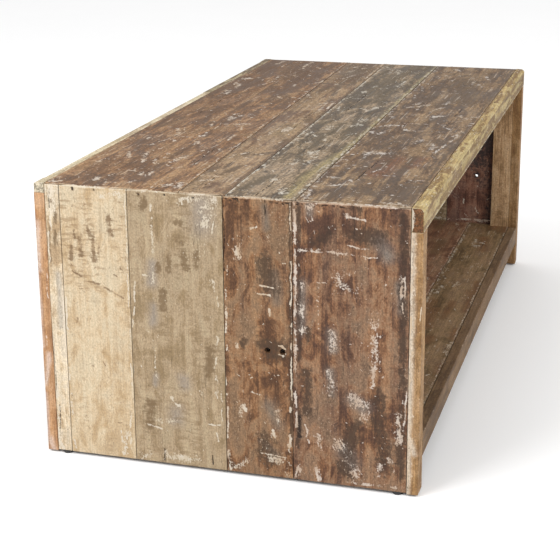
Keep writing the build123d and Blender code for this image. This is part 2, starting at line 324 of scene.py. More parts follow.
def scatter(seed, count, region, kind="paint", reach=(0.5, 1.1), length=(1, 9), spread=0.35, turned=0.0):
    """Small random marks in a region, ((low across, low along), (high across, high along)).

    They run mostly along the grain: turned is their heading from it, and spread how far that varies.
    """
    random = np.random.default_rng(seed)
    (low_across, low_along), (high_across, high_along) = region
    marks = []
    for _ in range(count):
        across = random.uniform(low_across, high_across)
        along = random.uniform(low_along, high_along)
        heading = random.normal(turned, spread)
        stretch = random.uniform(*length)
        end = (across + stretch * math.sin(heading), along + stretch * math.cos(heading))
        thin = kind == "paint" and random.uniform() < 0.6
        marks.append(("haze" if thin else kind, random.uniform(*reach), (across, along), end))
    return marks


def closed_skin(name, points, rows, columns):
    """A closed mesh over rows of rings of points, with a point in the middle of each end."""
    first = np.arange(rows - 1)[:, None] * columns + np.arange(columns)[None, :]
    second = np.arange(rows - 1)[:, None] * columns + (np.arange(columns)[None, :] + 1) % columns
    quads = np.stack((first, first + columns, second + columns, second), axis=-1).reshape(-1, 4)
    middles = [points[:columns].mean(axis=0), points[-columns:].mean(axis=0)]
    points = np.vstack((points, middles))
    ring = np.arange(columns)
    ahead = (ring + 1) % columns
    last = (rows - 1) * columns
    start_fan = np.stack((ring, ahead, np.full(columns, rows * columns)), axis=1)
    stop_fan = np.stack((last + ahead, last + ring, np.full(columns, rows * columns + 1)), axis=1)
    fans = np.vstack((start_fan, stop_fan))
    a, b, c, d = (points[quads[:, i]] for i in range(4))
    if np.einsum("ij,ij->", a, np.cross(b, c)) + np.einsum("ij,ij->", a, np.cross(c, d)) < 0:
        quads = quads[:, ::-1]
        fans = fans[:, ::-1]

    mesh = bpy.data.meshes.new(name)
    mesh.vertices.add(len(points))
    mesh.vertices.foreach_set("co", points.ravel())
    corners = np.concatenate((quads.ravel(), fans.ravel()))
    mesh.loops.add(len(corners))
    mesh.loops.foreach_set("vertex_index", corners)
    mesh.polygons.add(len(quads) + len(fans))
    starts = np.concatenate((np.arange(len(quads)) * 4, len(quads) * 4 + np.arange(len(fans)) * 3))
    mesh.polygons.foreach_set("loop_start", starts)
    mesh.polygons.foreach_set("use_smooth", np.ones(len(quads) + len(fans), bool))
    mesh.update(calc_edges=True)
    mesh.set_sharp_from_angle(angle=math.radians(38))
    return mesh


def board(
    name, lay, run, spread, depth, grid, seed, finish, slot, mitres=(0, 0), arris=(0.6, 0.6), end_arris=4.5,
    marks=(), back_marks=(), side_marks=(), side_grid=4, smeared=0, relief=0.3, sunk=0.1, wave=0.2,
    ragged=0.8, back=4.0, seamed=0.8,
):
    """One board as a closed mesh, worn in.

    lay turns (along, across, level) in mm into places on the table; run holds the starts and the
    stops along the grain at the board's low and high sides, spread its two sides at the start and
    at the stop, and depth its thickness, with its face at that level and its back at 0.
    """
    (low_start, high_start), (low_stop, high_stop) = run
    length = (low_stop + high_stop - low_start - high_start) / 2
    width = (spread[0][1] + spread[1][1] - spread[0][0] - spread[1][0]) / 2
    low_arris, high_arris = arris
    back_arris = 0.5

    # The section, as (share of the width, offset, level, outwards across, outwards up)
    steps = max(3, round(width / grid[1]))
    section = [(t, low_arris * (1 - t) - high_arris * t, depth, 0, 1) for t in np.linspace(0, 1, steps + 1)]
    turns = [(math.sin(math.radians(a)), math.cos(math.radians(a))) for a in (18, 36, 54, 72)]
    section += [(1, high_arris * (s - 1), depth - high_arris * (1 - c), s, c) for s, c in turns]
    side_steps = max(2, round(depth / side_grid))
    down = np.linspace(depth - high_arris, back_arris, side_steps + 1)
    section += [(1, 0, level, 1, 0) for level in down]
    back_steps = max(2, round(width / (grid[1] * back)))
    section += [(t, back_arris * (1 - 2 * t), 0, 0, -1) for t in np.linspace(1, 0, back_steps + 1)]
    upward = np.linspace(back_arris, depth - low_arris, side_steps + 1)
    section += [(0, 0, level, -1, 0) for level in upward]
    section += [(0, low_arris * (1 - s), depth - low_arris * (1 - c), -s, c) for s, c in turns[::-1]]
    share, offset, level, out_across, out_up = np.array(section).T

    # Stations along the grain, as (share of the length, how much is worn off there, worn all round)
    ends = []
    for mitred in mitres:
        angles = np.radians((45, 58, 72, 90) if mitred else (0, 30, 60, 90))
        radius = end_arris if mitred else min(0.9, end_arris)
        far = radius * (np.sin(angles) - np.cos(angles)) if mitred else radius * (1 - np.cos(angles))
        ends.append(list(zip(far / length, radius * (1 - np.sin(angles)), [not mitred] * 4)))
    inner = np.linspace(ends[0][-1][0], 1 - ends[1][-1][0], max(2, round(length / grid[0])) + 1)[1:-1]
    stations = ends[0] + [(t, 0, False) for t in inner] + [(1 - t, w, r) for t, w, r in ends[1][::-1]]
    at, shaved, all_round = (column[:, None] for column in np.array(stations).T)

    facing = np.clip(out_up, 0, 1)[None, :]
    rounding = shaved * np.where(all_round > 0, 1, facing)
    low = spread[0][0] + (spread[1][0] - spread[0][0]) * at
    high = spread[0][1] + (spread[1][1] - spread[0][1]) * at
    up = level - rounding * np.where(all_round > 0, out_up, 1)
    side_place = (low + (high - low) * share).ravel()
    rub = 0.5 + wander(0 * side_place, side_place, 0 * side_place, (1, 34, 1), 900)
    rub = np.clip(rub, 0, 1.6).reshape(up.shape)
    up = up - 1.1 * rub * facing * (all_round == 0) * np.clip(shaved / 1.3, 0, 1)
    start = low_start + (high_start - low_start) * share + mitres[0] * (depth - up)
    stop = low_stop + (high_stop - low_stop) * share - mitres[1] * (depth - up)
    along = (start + (stop - start) * at).ravel()
    across = (low + (high - low) * share + offset - rounding * (all_round > 0) * out_across).ravel()
    up = up.ravel()
    shape = (len(stations), len(section))
    facing, out_across, out_up, far_side = (
        np.broadcast_to(values, shape).ravel() for values in (facing, out_across, out_up, share > 0.97)
    )

    # Wear: long hollows and raised grain, wavy and chipped sides, and the marks laid on the face
    laid = lay_marks(along, across, marks, seed)
    behind = lay_marks(along, across, back_marks, seed + 50)
    beside = lay_marks(along, up, side_marks, seed + 60)
    sideways = (facing <= 0.2) * (out_up > -0.5)
    for kind in laid:
        laid[kind] = laid[kind] * (facing > 0.2) + behind[kind] * (out_up < -0.5) + beside[kind] * sideways
    ringed_at = np.repeat(at[:, 0], shape[1])
    capped = smeared * (ringed_at <= 0) * far_side
    laid["paint"] = np.maximum(laid["paint"], capped)
    hollow = 0.5 + 0.5 * wander(along, across, up, (130, 22, 22), seed + 1)
    raised = 0.5 + 0.5 * wander(along, across, up, (26, 2.6, 2.6), seed + 2, layers=2)
    to_side = np.minimum(across - np.repeat(low, shape[1]), np.repeat(high, shape[1]) - across)
    nicks = np.clip(wander(along, across, up, (9, 40, 40), seed + 3, layers=2) - 0.32, 0, 1)
    edge = np.clip(1 - to_side / 3.2, 0, 1) * (facing > 0.05)
    cut = sunk + relief * (0.7 * np.clip(hollow, 0, 1.5) + 0.4 * np.clip(raised, 0, 1.5))
    cut += ragged * nicks * edge * 2.2 + 1.1 * laid["crack"] + 0.8 * laid["dent"]
    cut -= 0.12 * np.clip(laid["paint"], 0, 0.6)
    swell = np.clip(0.5 + 0.5 * wander(along, up, across * 0, (90, 12, 1), seed + 4), 0, 1.4)
    side_cut = wave * swell * np.abs(out_across)
    sawn_end = np.repeat(all_round[:, 0] * (shaved[:, 0] > 0), shape[1])
    inward = np.where(ringed_at < 0.5, 1, -1)
    along = along + inward * sawn_end * 0.25 * np.clip(hollow, 0, 1.5)
    cut = np.clip(cut, 0.02, None) * np.where(facing > 0, facing, 0.25)
    across = across - out_across * side_cut - out_across * (facing > 0) * cut
    up = up - out_up * np.where(facing > 0, cut, 0.15 * cut)

    points = np.stack(lay(along, across, up), axis=1) / 1000
    mesh = closed_skin(name, points, *shape)
    at_end = np.zeros(shape)
    at_end[0] = 1 - mitres[0]
    at_end[-1] = 1 - mitres[1]
    rim = np.clip(1 - to_side / 1.6, 0, 1) * (facing > 0)
    rounded = np.repeat(shaved[:, 0] > 0, shape[1]) * (facing > 0)
    values = {
        "paint": laid["paint"],
        "stain": np.maximum(laid["stain"], 0.5 * laid["dent"]),
        "tint": laid["tint"],
        "crack": laid["crack"],
        "worn": np.clip(0.45 * rim + 0.75 * rounded + nicks * edge, 0, 1),
        # Painted shade on the side faces that look into the seams between boards; seamed sets how dark.
        "seam_shade": np.clip(np.abs(out_across) * (facing < 0.3) * seamed, 0, 1),
        "end": at_end.ravel(),
    }
    for kind, value in values.items():
        value = np.append(value, [1 - mitres[0], 1 - mitres[1]] if kind == "end" else [0, 0])
        mesh.attributes.new(kind, "FLOAT", "POINT").data.foreach_set("value", value.astype(np.float32))
    mesh.materials.append(finish)
    piece = bpy.data.objects.new(name, mesh)
    bpy.context.scene.collection.objects.link(piece)
    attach(piece, "root")
    return piece


def span(node, axis):
    """A CAD piece's two limits along an axis, in mm."""
    low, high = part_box(node)
    return low[axis] * 1000, high[axis] * 1000


def straight_board(node, lay, run, depth, grid, seed, finish, slot, **wear):
    """Puts a worn board, cut square across where its run starts and stops, in the place of a CAD one."""
    start, stop = run
    piece = board(
        node + "_worn", lay, ((start, start), (stop, stop)), (span(node, 1), span(node, 1)), depth, grid,
        seed, finish, slot, **wear,
    )
    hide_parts(node)
    return piece


def upright(face, into):
    """Lays a board upright: along z, across y, with its face at x = face and its back further in."""
    return lambda along, across, up: (np.full_like(along, face) + (into * (up_depth - up)), across, along)


up_depth = 16
height = cad_box[1][2] * 1000
near_face = cad_box[0][0] * 1000


def end_board(node, face, into, seed, finish, slot, grid=(1.3, 1.3), **wear):
    """Puts a worn upright board in the place of a CAD one, with its top end mitred."""
    run = (span(node, 2)[0], height)
    return straight_board(
        node, upright(face, into), run, up_depth, grid, seed, finish, slot, mitres=(0, 1), **wear,
    )


nails = [236, 200, 129, 88, 42, -14, -24, -77, -170, -252]
nail_drop = 7
nail_height = height - nail_drop


def nail_pockets(low, high):
    """The small sunk rings round the nail heads between two seams, each with a dark dot that stands for the
    nail head and the painted shade in its pit.
    """
    places = [(y, nail_height) for y in nails if low < y < high]
    return [mark for place in places for mark in (("dent", 2.4, place), ("crack", 1.9, place))]


def rubbed_mitre(low, high):
    """The nail pockets and the old paint left along the rounded edge where an end meets the top.

    The two boards left bare have a fine dark line under it too.
    """
    painted = high > 0
    edge = [("haze", 2.4 if painted else 1.5, (low, height - 1.5), (high, height - 1.5))]
    if not painted:
        line = ((low, height - 6.5), (high, height - 5.5))
        edge += scatter(round(90 - low), 9, line, "crack", (0.4, 0.6), (4, 16), 0.1, turned=1.57)
    return edge + nail_pockets(low, high)


narrow_marks = placed(
    paint=[
        (1.5, 274, 425, 273, 395, 274, 372), (1.3, 278, 372, 279, 318), (2.2, 279, 112, 279, 60),
        (3, 278, 20, 272, 8), (1.6, 260, 262, 260, 205),
    ],
    haze=[(5, 270, 432, 270, 396), (10, 272, 438, 272, 404), (5, 278, 126, 278, 8)],
    stain=[(4, 264, 398, 265, 384), (4, 267, 374, 269, 342), (1.5, 276, 380, 277, 316), (5, 272, 416)],
    tint=[(6, 266, 300, 265, 215)],
    crack=[(0.7, 273, 436, 275, 404), (0.8, 281, 180, 280, 108), (0.9, 276, 84, 277, 40)],
)
narrow_finish = wood_finish(
    "narrow_board_paint", "z", 21, (161, 137, 107), (203, 185, 157), (217, 202, 179),
    second=(171, 161, 146), second_share=0.25, flakes=0.5, saw=0.35, dirt=0.5, strand=0.4,
    stain=(102, 83, 60),
)
end_board(
    "near_end_board_1", near_face, 1, 11, narrow_finish, "cream_board", seamed=0.35,
    marks=narrow_marks + rubbed_mitre(260, 282),
)

cream_marks = placed(
    paint=[
        (1.7, 255, 264, 256, 212), (1.2, 256, 150, 256, 128), (2.4, 155, 87, 156, 21),
        (4.5, 164, 28, 170, 12), (2, 173, 50, 170, 30), (2.4, 254, 24, 252, 12), (0.9, 151, 436, 151, 130),
    ],
    haze=[(3, 254, 104, 255, 70), (7, 160, 60, 166, 14), (8, 160, 434, 190, 430)],
    stain=[
        (6, 178, 398, 176, 372), (4, 213, 379, 211, 368), (4.5, 243, 352, 242, 326),
        (5, 227, 362, 226, 334), (5, 206, 366, 205, 328), (3, 236, 374, 235, 362), (3, 196, 352, 197, 338),
        (2.6, 242, 308, 228, 300), (2.4, 216, 294, 199, 290), (2.6, 190, 286, 160, 272),
        (3.4, 237, 232, 238, 224),
    ],
    tint=[(14, 170, 40, 200, 16)],
)
cream_finish = wood_finish(
    "cream_board_paint", "z", 31, (165, 140, 106), (186, 166, 137), (198, 184, 158),
    second=(170, 148, 118), second_share=0.2, flakes=0.25, saw=0.75, dirt=0.25, checks=0.25, contrast=0.8,
    strand=0.3, stain=(109, 86, 62),
)
cream_marks += scatter(12, 40, ((150, 60), (256, 430)), "stain", (0.5, 0.9), (2, 9), 1.5)
end_board(
    "near_end_board_2", near_face, 1, 12, cream_finish, "cream_board", seamed=0.35,
    marks=cream_marks + rubbed_mitre(148, 258),
)

khaki_marks = placed(
    paint=[
        (1.8, 110, 424, 110, 414), (5, 33, 427, 24, 423), (3, 29, 402, 26, 396), (1.8, 13, 404, 13, 386),
        (2.4, 66, 437, 60, 426), (2.6, 129, 312, 120, 310), (1.9, 139, 300, 142, 262, 146, 227),
        (1.5, 8, 288, 8, 272), (2.9, 87, 117, 80, 108, 73, 104), (1.4, 13, 66, 12, 54),
        (1.6, 26, 79, 8, 80), (4.5, 76, 18, 58, 17), (1.8, 104, 62, 128, 68), (2, 9, 222, 12, 190, 14, 172),
        (1.6, 5, 136, 4, 88),
    ],
    haze=[
        (15, 22, 424, 26, 398), (10, 60, 432, 12, 436), (3, 108, 404, 110, 300), (2, 112, 206, 110, 150),
        (4, 16, 312, 14, 296), (5, 38, 132, 34, 124), (6, 118, 76, 82, 78), (9, 100, 18, 50, 16),
        (9, 142, 14, 124, 16), (4, 12, 160, 11, 126),
    ],
    stain=[
        (8, 122, 430, 122, 420), (5, 72, 398, 64, 397), (7, 84, 346, 84, 322), (8, 60, 352, 58, 328),
        (7, 40, 357, 42, 332), (6, 100, 332, 100, 318), (9, 94, 290, 96, 262), (8, 70, 372, 66, 366),
        (10, 20, 200, 24, 160), (12, 120, 100, 124, 60),
    ],
    tint=[
        (22, 30, 430, 30, 396), (10, 110, 330, 113, 300), (8, 112, 262, 112, 236), (6, 111, 150, 112, 136),
        (11, 66, 149, 64, 140), (14, 79, 94, 80, 82),
    ],
    crack=[(1.2, 100, 30, 100, 10), (1.2, 21, 28, 21, 12)],
)
khaki_finish = wood_finish(
    "khaki_board_paint", "z", 41, (131, 111, 83), (154, 134, 107), (170, 152, 123),
    second=(139, 128, 116), second_share=0.1, flakes=0.45, saw=0.6, dirt=0.35, checks=0.4, contrast=0.9,
    strand=0.3, stain=(105, 85, 61),
)
khaki_marks += scatter(13, 90, ((0, 10), (146, 435)), "paint", (0.4, 0.8), (1, 6), 0.6)
end_board(
    "near_end_board_3", near_face, 1, 13, khaki_finish, "khaki_board", seamed=0.5,
    marks=khaki_marks + rubbed_mitre(-2, 148),
)

brown_marks = placed(
    paint=[
        (2.2, -55, 399, -47, 398), (6, -24, 366, -24, 356), (1.8, -19, 329, -17, 316),
        (1.3, -20, 312, -36, 311), (1.5, -58, 310, -80, 309), (1.6, -54, 298, -74, 296),
        (2.6, -72, 274, -73, 266), (1.4, -8, 342, -7, 318), (2.6, -5, 262, -4, 234),
        (1.4, -105, 444, -106, 396), (1.3, -106, 352, -106, 240), (3.4, -21, 218, -22, 210),
        (2, -86, 218, -92, 218, -98, 213), (1.7, -98, 208, -94, 203, -86, 205), (1.3, -42, 140, -58, 138),
        (3, -30, 118, -33, 108), (3, -75, 80, -78, 72), (1.2, -57, 42, -76, 40, -96, 38),
        (1.4, -1, 172, -3, 140), (1.6, -4, 134, -4, 60), (3.2, -4, 38, -8, 8), (1.5, -106, 262, -106, 134),
        (2, -104, 122, -103, 112), (2.8, -104, 78, -100, 30),
    ],
    haze=[
        (8, -26, 372, -26, 350), (3, -5, 300, -5, 205), (7, -28, 116, -24, 96), (8, -82, 112, -86, 98),
        (9, -74, 34, -96, 32), (6, -32, 24, -12, 12), (5, -100, 60, -98, 8),
    ],
    stain=[
        (6, -32, 222, -30, 214), (9, -70, 204, -94, 202), (3.4, -105, 440, -105, 60),
        (22, -60, 60, -70, 30), (20, -70, 350, -76, 310), (16, -60, 220, -92, 216),
    ],
    tint=[
        (13, -70, 120, -84, 90), (11, -80, 330, -84, 290), (10, -60, 60, -80, 40), (9, -66, 430, -70, 400),
    ],
    crack=[(0.9, -67, 441, -67, 418), (1.1, -3.4, 444, -3.6, 330)],
)
brown_finish = wood_finish(
    "brown_board_wood", "z", 51, (80, 55, 38), (125, 88, 58), (150, 114, 80),
    second=(113, 101, 88), second_share=0.4, flakes=0.5, saw=0.3, dirt=0.55, checks=0.6, contrast=1.25,
    strand=0.3, stain=(63, 48, 36),
)
brown_marks += scatter(14, 120, ((-106, 10), (-4, 440)), "paint", (0.4, 0.8), (1, 5), 1.2)
brown_board = end_board(
    "near_end_board_4", near_face, 1, 14, brown_finish, "brown_board",
    marks=brown_marks + rubbed_mitre(-108, -2),
)

red_marks = placed(
    paint=[
        (1, -129, 420, -133, 414, -139, 416, -138, 423, -132, 424), (3.2, -188, 427, -192, 425),
        (2, -192, 425, -216, 423), (1.3, -190, 382, -222, 379), (1.8, -122, 371, -150, 369, -171, 370),
        (1.3, -176, 370, -205, 368, -234, 367), (1.2, -145, 323, -166, 322), (1.6, -275, 343, -275, 311),
        (1.3, -272, 304, -272, 286), (1.6, -121, 314, -121, 286), (1.4, -123, 268, -122, 240),
        (3.4, -229, 196, -231, 172), (1.4, -172, 80, -186, 60), (1.4, -180, 82, -192, 58),
        (1.3, -168, 70, -180, 50), (3, -202, 34, -206, 22), (2.8, -142, 30, -147, 8),
        (2.2, -120, 22, -118, 12), (1.9, -127, 98, -133, 68), (2.4, -113, 140, -113, 92),
        (2.2, -118, 30, -112, 10), (1.8, -271, 118, -272, 84), (1.2, -273, 86, -278, 120, -280, 168),
        (1.7, -112, 440, -113, 300), (1.5, -112, 300, -112, 130), (1, -190, 10, -268, 11),
    ],
    haze=[
        (7, -135, 438, -134, 428), (4, -118, 371, -190, 369), (12, -180, 330, -196, 322),
        (10, -230, 272, -232, 240), (8, -234, 240, -232, 206), (4, -270, 344, -270, 312),
        (6, -122, 318, -122, 246), (9, -168, 246, -170, 222), (8, -166, 186, -168, 150),
        (6, -230, 222, -230, 190), (14, -200, 146, -216, 134), (9, -214, 126, -222, 112),
        (13, -176, 72, -190, 52), (10, -196, 36, -206, 22), (7, -140, 36, -150, 10),
        (7, -148, 82, -150, 60), (6, -268, 130, -270, 84), (6, -243, 44, -240, 30),
        (3.4, -112, 440, -112, 120), (7, -256, 60, -262, 40), (4, -200, 12, -266, 12),
    ],
    stain=[
        (8, -198, 442, -206, 436), (18, -196, 402, -236, 398), (6, -130, 250, -132, 232),
        (6, -238, 166, -236, 150), (5, -118, 122, -116, 58), (5, -117, 440, -118, 200),
        (9, -272, 430, -274, 30), (16, -236, 150, -250, 40), (15, -160, 400, -140, 380),
        (18, -200, 100, -190, 30), (12, -128, 180, -130, 120),
    ],
    tint=[
        (9, -168, 246, -170, 222), (9, -166, 186, -168, 150), (13, -200, 146, -216, 134),
        (9, -122, 318, -122, 246), (9, -268, 330, -270, 290), (14, -236, 392, -250, 372),
        (16, -186, 62, -200, 40), (8, -134, 438, -134, 426),
    ],
    crack=[(3, -117, 108, -117, 76)],
)
red_marks += [("paint", 1.1, (-147.5, z)) for z in range(238, 342, 7)]
red_marks += scatter(17, 60, ((-196, 308), (-166, 342)), "paint", (0.5, 0.9), (1, 3), 1.5)
red_marks += scatter(18, 110, ((-240, 190), (-220, 285)), "paint", (0.5, 0.9), (1, 4), 0.9)
red_marks += scatter(19, 150, ((-280, 10), (-110, 440)), "paint", (0.4, 0.8), (1, 5), 1.2)
red_finish = wood_finish(
    "red_brown_board_wood", "z", 61, (76, 52, 40), (121, 85, 59), (146, 111, 81),
    second=(111, 102, 94), second_share=0.35, paint=(190, 178, 166), flakes=0.55, saw=0.3, dirt=0.65,
    checks=0.6, contrast=1.3, strand=0.35, stain=(57, 43, 34),
)
end_board(
    "near_end_board_5", near_face, 1, 15, red_finish, "red_brown_board",
    marks=red_marks + rubbed_mitre(-282, -108),
)

# The two old bolt holes go right through the fourth board, with their rims broken out a little. Their walls
# are coloured near black, as painted shade.


def cut_away(piece, points, faces, inside):
    """Takes a closed shape, given in mm, out of a piece; inside is the finish of the cut faces."""
    mesh = bpy.data.meshes.new("cutter")
    mesh.from_pydata([tuple(c / 1000 for c in point) for point in points], [], faces)
    shell = bmesh.new()
    shell.from_mesh(mesh)
    bmesh.ops.recalc_face_normals(shell, faces=shell.faces)
    shell.to_mesh(mesh)
    shell.free()
    mesh.materials.append(inside)
    cutter = bpy.data.objects.new("cutter", mesh)
    bpy.context.scene.collection.objects.link(cutter)
    cut = piece.modifiers.new("cut", "BOOLEAN")
    cut.operation = "DIFFERENCE"
    cut.solver = "EXACT"
    cut.object = cutter
    cut.material_mode = "TRANSFER"
    bpy.context.view_layer.update()
    left = bpy.data.meshes.new_from_object(piece.evaluated_get(bpy.context.evaluated_depsgraph_get()))
    piece.modifiers.clear()
    piece.data = left
    bpy.data.objects.remove(cutter)


# Painted shade: the walls of the bored holes are near black, standing in for the dark inside the holes.
hole_shade_finish = wood_finish("hole_wall_shade_wood", "y", 66, (22, 16, 13), (34, 25, 20), (46, 34, 27), second=(30, 26, 24))


def bore(piece, side, middle, radius, seed):
    """Drills a rough hole through an upright board, at (y, z) in mm; side is -1 at the near end."""
    sides = 22
    turns = [2 * math.pi * i / sides for i in range(sides)]
    random = np.random.default_rng(seed)
    reach = radius * (1 + 0.08 * random.uniform(-1, 1, sides))
    face = abs(near_face)
    points = []
    for x, widen in ((face + 2, 1.45), (face - 0.6, 1.2), (face - 2.4, 1.0), (face - up_depth - 4, 0.97)):
        for r, t in zip(widen * reach, turns):
            points.append((side * x, middle[0] + r * math.cos(t), middle[1] + r * math.sin(t)))
    faces = [tuple(range(sides)), tuple(range(4 * sides - 1, 3 * sides - 1, -1))]
    for first in (0, sides, 2 * sides):
        second = first + sides
        for i in range(sides):
            ahead = (i + 1) % sides
            faces.append((first + i, second + i, second + ahead, first + ahead))
    cut_away(piece, points, faces, hole_shade_finish)


bolt_radius = 4
for place, seed in (((-69, 210), 5), ((-92, 210), 6)):
    bore(brown_board, -1, place, bolt_radius, seed)

# The far end: four boards made up the same way. Their outer faces look away along the table, and
# their inner faces show dark through the open side. One has an old bolt hole.
far_face = cad_box[1][0] * 1000
unpainted = {"flakes": 0.4, "saw": 0.4, "dirt": 0.6, "checks": 0.5, "contrast": 1.1, "strand": 0.4}
inner_brown = wood_finish(
    "far_brown_board_wood", "z", 71, (83, 57, 45), (124, 90, 70), (149, 115, 91),
    second=(70, 60, 60), second_share=0.35, stain=(58, 44, 41), **unpainted,
)
inner_red = wood_finish(
    "far_red_brown_board_wood", "z", 81, (83, 55, 45), (128, 90, 72), (153, 115, 94),
    second=(66, 55, 60), second_share=0.4, stain=(34, 34, 37), **unpainted,
)
far_boards = [
    ("far_end_board_1", inner_red, "red_brown_board", 101),
    ("far_end_board_2", khaki_finish, "khaki_board", 102),
    ("far_end_board_3", cream_finish, "cream_board", 103),
    ("far_end_board_4", inner_brown, "brown_board", 104),
]
far_bolt = (-204, 200)
for node, finish, slot, seed in far_boards:
    low, high = span(node, 1)
    outer = ((low, 10), (high, 435))
    marks = nail_pockets(low, high)
    marks += scatter(seed, 130, outer, "paint", (0.5, 1.1), (1, 9), 1.0)
    marks += scatter(seed + 20, 16, outer, "haze", (3, 9), (5, 40), 0.3)
    marks += scatter(seed + 40, 14, outer, "stain", (5, 14), (10, 70), 0.2)
    inner = scatter(seed + 60, 60, ((low, 95), (high, 400)), "paint", (0.8, 1.5), (2, 12), 1.0)
    inner += placed(
        paint=[(1, low, 98, high, 98)],
        haze=[(4, low, 96, high, 96)],
        stain=[(60, -215, 262, -215, 420), (45, low + 25, 100, low + 25, 300), (15, *far_bolt)],
    )
    made = end_board(
        node, far_face, -1, seed, finish, slot, grid=(1.9, 1.9), back=1.8, marks=marks, back_marks=inner,
    )
    if node == "far_end_board_1":
        bore(made, 1, far_bolt, bolt_radius, 7)

# The top: four boards wide, of grey and brown deck planking with many small chips and scratches.
# The boards are mitred to both ends; the second is pieced with a slanting butt joint.
# Wide soft stains laid toward the far end of each top board darken it there, as painted shade.


def flat(top_level):
    """Lays a board flat: along x, across y, with its face at z = top_level."""
    return lambda along, across, up: (along, across, up + top_level - up_depth)


def seam(near_y, far_y, x):
    """Where a straight seam lies across the table, at a place along it."""
    return near_y + (far_y - near_y) * (x - near_face) / (far_face - near_face)


half_inside = 282
half_gap = 0.4
top_seams = [(-half_inside, -half_inside), (-113, -109), (-6, 12), (66, 98), (half_inside, half_inside)]
joint_right, joint_left = 296, 312


def top_board(node, right_seam, left_seam, near_cut, far_cut, seed, finish, slot, mitres=(1, 1), **wear):
    """Puts a worn board between two of the top's seams; its cuts are (right, left) places along x."""
    sides = []
    for cut in (near_cut, far_cut):
        middle = sum(cut) / 2
        sides.append((seam(*right_seam, middle) + half_gap, seam(*left_seam, middle) - half_gap))
    piece = board(
        node + "_worn", flat(height), (near_cut, far_cut), sides, up_depth, (2.0, 1.8), seed, finish, slot,
        mitres=mitres, seamed=0.45, **wear,
    )
    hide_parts(node)


top_end = 595


def top_wear(seed, low, high, stop=top_end):
    """Chips, most of them knocked across the grain, rubs, and old paint left at the near edge."""
    region = ((low, near_face + 5), (high, stop))
    area_to_a_chip = 1300
    count = round((high - low) * (stop - near_face) / area_to_a_chip)
    wear = scatter(seed, count, region, "paint", (1.4, 2.6), (0, 6), 0.35, turned=1.55)
    wear += scatter(seed + 20, count // 4, region, "haze", (3, 8), (8, 50), 0.4)
    wear += scatter(seed + 40, count // 5, region, "stain", (5, 12), (20, 110), 0.12)
    wear += scatter(seed + 60, count // 3, region, "stain", (2, 4), (2, 14), 1.2)
    wear += scatter(seed + 80, count // 8, region, "paint", (0.7, 0.9), (15, 60), 0.12, turned=1.5)
    return wear + [("haze", 2.4, (low, near_face + 1), (high, near_face + 1))]


near_cut = (near_face, near_face)
far_cut = (far_face, far_face)
deck = {"coarse": 1.5, "strand": 0.45, "gloss": 0.7, "scored": 0.8}
umber = wood_finish(
    "umber_top_wood", "x", 111, (96, 69, 46), (128, 95, 66), (152, 121, 87), second=(111, 77, 48),
    second_share=0.3, paint=(190, 178, 164), flakes=0.75, saw=0.15, dirt=0.6, checks=0.7, contrast=1.7,
    stain=(84, 62, 45), **deck,
)
umber_marks = placed(
    paint=[
        (9, 256, 340, 254, 352), (3, 178, 496, 180, 540), (1.4, 206, -190, 213, -172),
        (2, 142, -402, 136, -384), (2.6, 124, -346, 120, -332), (1.6, 162, -62, 165, -34),
        (1.5, 158, -170, 160, -140), (1.2, 184, 350, 186, 392), (1.2, 230, 500, 228, 540),
        (3.5, 270, -588, 262, -580),
    ],
    haze=[
        (14, 262, 336, 246, 356), (6, 177, 480, 182, 560), (7, 205, -396, 202, -376),
        (8, 206, -536, 200, -524), (12, 142, -420, 134, -380), (9, 160, -70, 164, -30),
        (9, 132, -118, 108, -112), (2.2, 70, -590, 102, 595), (7, 276, -590, 272, -560),
    ],
    # Painted shade: the wide soft stains running out toward the far end darken the board there.
    stain=[
        (60, 150, 330, 200, 560), (40, 250, 420, 260, 580), (14, 243, 290, 248, 318),
        (15, 163, 206, 160, 224), (13, 122, 214, 118, 222), (10, 214, 180, 204, 192),
        (7, 118, -346, 116, -326), (9, 98, -404, 95, -372), (12, 262, 540, 262, 580),
        (18, 200, 420, 196, 560), (14, 250, 400, 254, 520),
    ],
    crack=[(1.1, 280, -590, 268, -574), (0.8, 104, -440, 106, -300), (0.8, 232, -40, 234, 120)],
)
umber_marks += scatter(31, 90, ((80, -top_end), (278, -250)), "paint", (0.5, 1.2), (1, 12), 0.5)
umber_marks += scatter(32, 90, ((90, -250), (278, top_end)), "paint", (0.5, 1.2), (1, 14), 0.5)
# Painted shade: stains scattered over the far half, darkening it.
umber_marks += scatter(66, 40, ((80, 60), (278, top_end)), "stain", (6, 15), (40, 150), 0.1)
umber_marks += scatter(33, 26, ((80, -top_end), (278, -200)), "haze", (2, 6), (5, 40), 0.3)
umber_marks += top_wear(61, 78, 278)
top_board("top_board_1", *top_seams[3:5], near_cut, far_cut, 201, umber, "umber_board", marks=umber_marks)

tan = wood_finish(
    "tan_top_wood", "x", 121, (100, 74, 53), (127, 101, 75), (152, 126, 97), second=(132, 111, 81),
    second_share=0.3, paint=(190, 178, 164), flakes=0.75, saw=0.15, dirt=0.55, checks=0.7, contrast=1.6,
    stain=(84, 66, 49), **deck,
)
tan_marks = placed(
    paint=[(4.5, 52, -342, 48, -336), (5.5, 17, -340, 13, -330), (2.8, 10, 60, 12, 120)],
    haze=[(9, 70, -500, 68, -490), (9, 34, -84, 28, -78), (16, 32, -160, 30, -128), (8, 60, -530, 40, -520)],
    stain=[
        (9, 44, -346, 42, -330), (11, 26, -342, 6, -322), (9, 54, 286, 30, 290), (4, -2, -590, 10, 290),
        (2.4, 64, -590, 86, 290),
    ],
    tint=[(24, 34, -170, 30, -110)],
    crack=[(0.8, 40, -590, 42, -500), (0.9, 24, -130, 28, 20)],
)
tan_marks += scatter(35, 60, ((0, -top_end), (64, -100)), "paint", (0.5, 1.2), (1, 10), 0.6)
